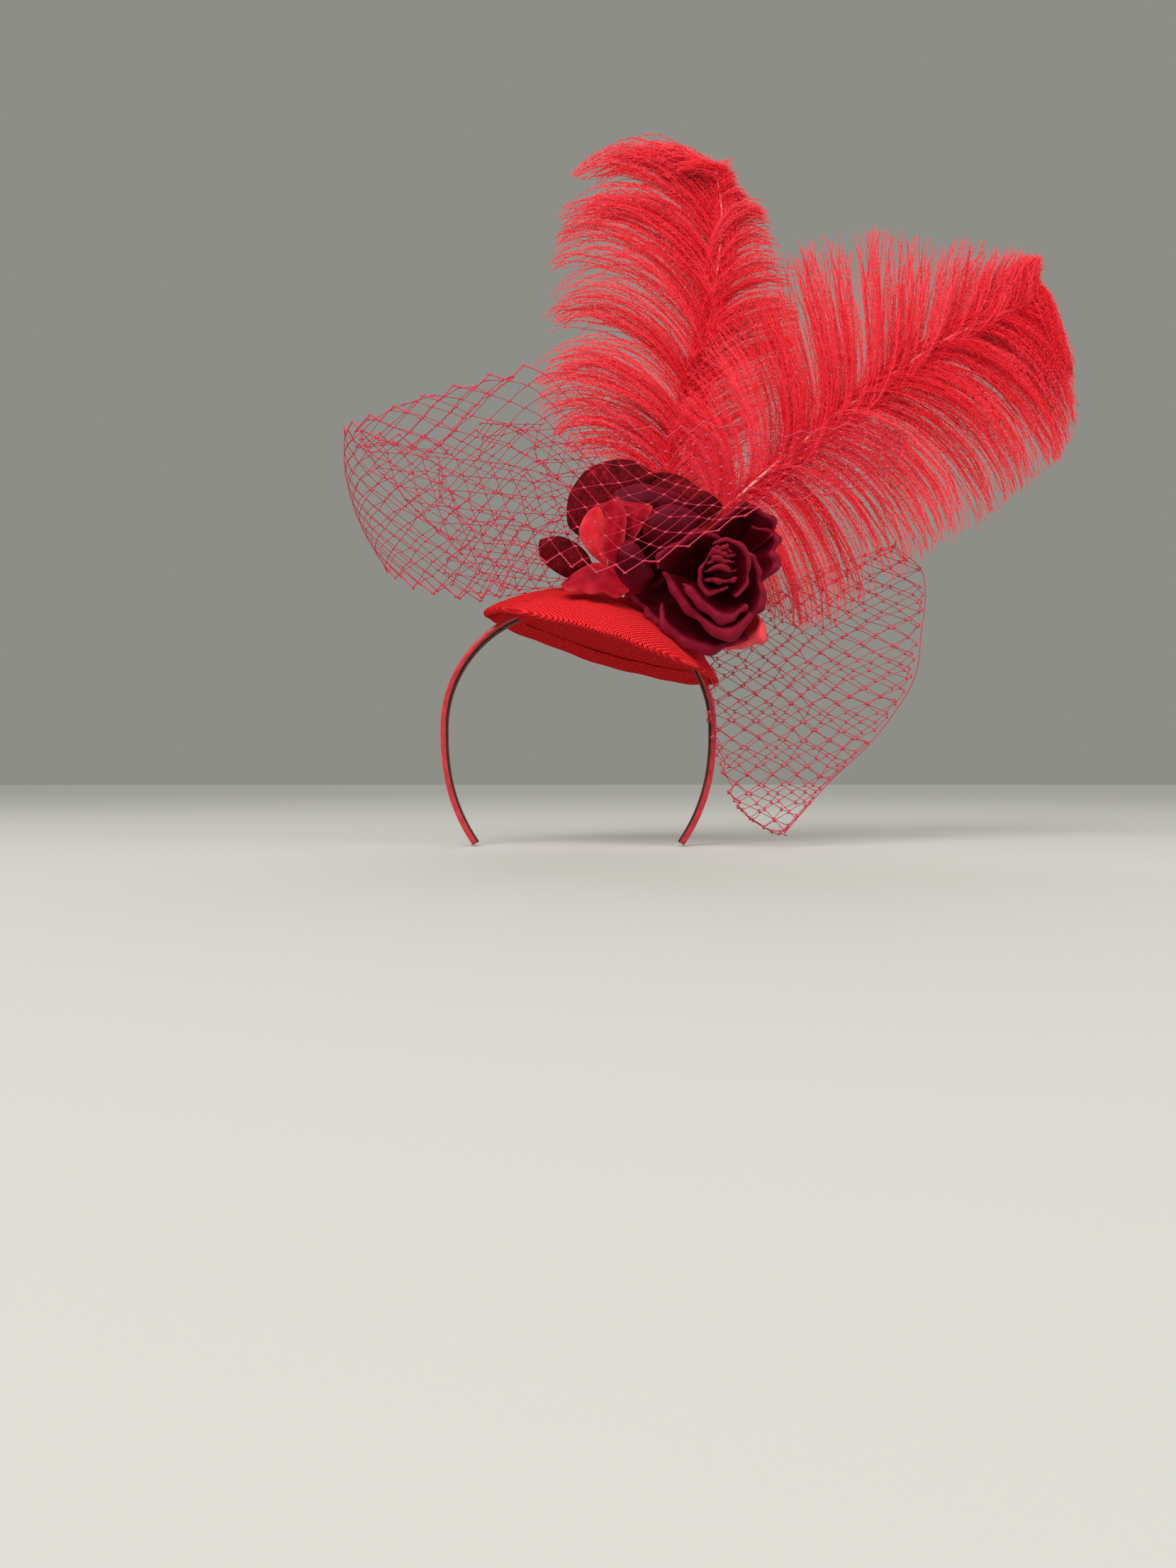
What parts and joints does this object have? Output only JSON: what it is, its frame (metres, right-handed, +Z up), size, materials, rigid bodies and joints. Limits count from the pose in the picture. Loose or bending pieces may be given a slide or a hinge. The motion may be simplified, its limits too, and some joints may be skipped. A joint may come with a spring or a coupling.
{
  "type": "fascinator headpiece",
  "caption": "Tilted woven-straw saucer on a satin headband, trimmed with silk roses, velvet leaves, ostrich plumes and a veil of diamond netting.",
  "frame": {"origin": "middle of the flat at the crown of the headband's lining, where the band rests on the head", "axes": "+X to the wearer's left, the viewer's right from the front; -Y to the front; +Z up"},
  "size_m": [0.4051, 0.1362, 0.4124],
  "materials": {
    "satin": "glossy satin",
    "lining": "matt velvet ribbon",
    "band_plastic": "matt",
    "straw": "stiffened open weave",
    "wire": "plain",
    "buckram": "stiff matt",
    "burgundy_petal": "satin",
    "coral_petal": "satin",
    "velvet": "velvet",
    "quill": "horn",
    "barbs": "feather",
    "binding_thread": "thread",
    "netting": "net"
  },
  "bodies": {
    "headpiece": {"band_satin_crown": "satin", "band_lining_crown": "lining", "band_core_crown": "band_plastic", "base_top_layer": "straw", "base_under_layer": "straw", "rim_binding": "straw", "band_keeper_1": "straw", "band_keeper_2": "straw", "rim_wire": "wire", "front_rose_stem": "wire", "back_rose_stem": "wire", "leaf_top_wire": "wire", "leaf_right_wire": "wire", "leaf_left_wire": "wire", "trim_pad": "buckram", "front_rose_bud": "burgundy_petal", "front_rose_petals_1": "burgundy_petal", "front_rose_petals_2": "burgundy_petal", "front_rose_petals_3": "burgundy_petal", "front_rose_petals_4": "burgundy_petal", "back_rose_bud": "burgundy_petal", "back_rose_petals_1": "burgundy_petal", "back_rose_petals_2": "burgundy_petal", "back_rose_petals_3": "burgundy_petal", "back_rose_petals_4": "coral_petal", "leaf_top": "velvet", "leaf_right": "velvet", "leaf_left": "velvet", "veil_left_net": "netting", "veil_right_net": "netting"},
    "left_arm": {"band_satin_left_arm": "satin", "band_lining_left_arm": "lining", "band_core_left_arm": "band_plastic"},
    "right_arm": {"band_satin_right_arm": "satin", "band_lining_right_arm": "lining", "band_core_right_arm": "band_plastic"},
    "left_plume": {"left_plume_quill": "quill", "left_plume_left_vane": "barbs", "left_plume_right_vane": "barbs", "left_plume_binding": "binding_thread"},
    "right_plume": {"right_plume_quill": "quill", "right_plume_upper_vane": "barbs", "right_plume_lower_vane": "barbs", "right_plume_binding": "binding_thread"}
  },
  "joints": [
    {"name": "left_arm_flex", "type": "hinge", "parent": "headpiece", "child": "left_arm", "pos_m": [-0.0571, 0, -0.02068], "axis": [0, 1, 0], "range_deg": [-3, 10], "stiffness_Nm_per_rad": 1.2},
    {"name": "right_arm_flex", "type": "hinge", "parent": "headpiece", "child": "right_arm", "pos_m": [0.07367, 0, -0.05242], "axis": [0, -1, 0], "range_deg": [-3, 10], "stiffness_Nm_per_rad": 1.2},
    {"name": "left_plume_sway", "type": "hinge", "parent": "headpiece", "child": "left_plume", "pos_m": [0.044, 0.009, 0.003], "axis": [0, 1, 0], "range_deg": [-7, 5], "stiffness_Nm_per_rad": 2},
    {"name": "right_plume_sway", "type": "hinge", "parent": "headpiece", "child": "right_plume", "pos_m": [0.049, -0.001, 0.006], "axis": [0, 1, 0], "range_deg": [-4, 2], "stiffness_Nm_per_rad": 2}
  ]
}
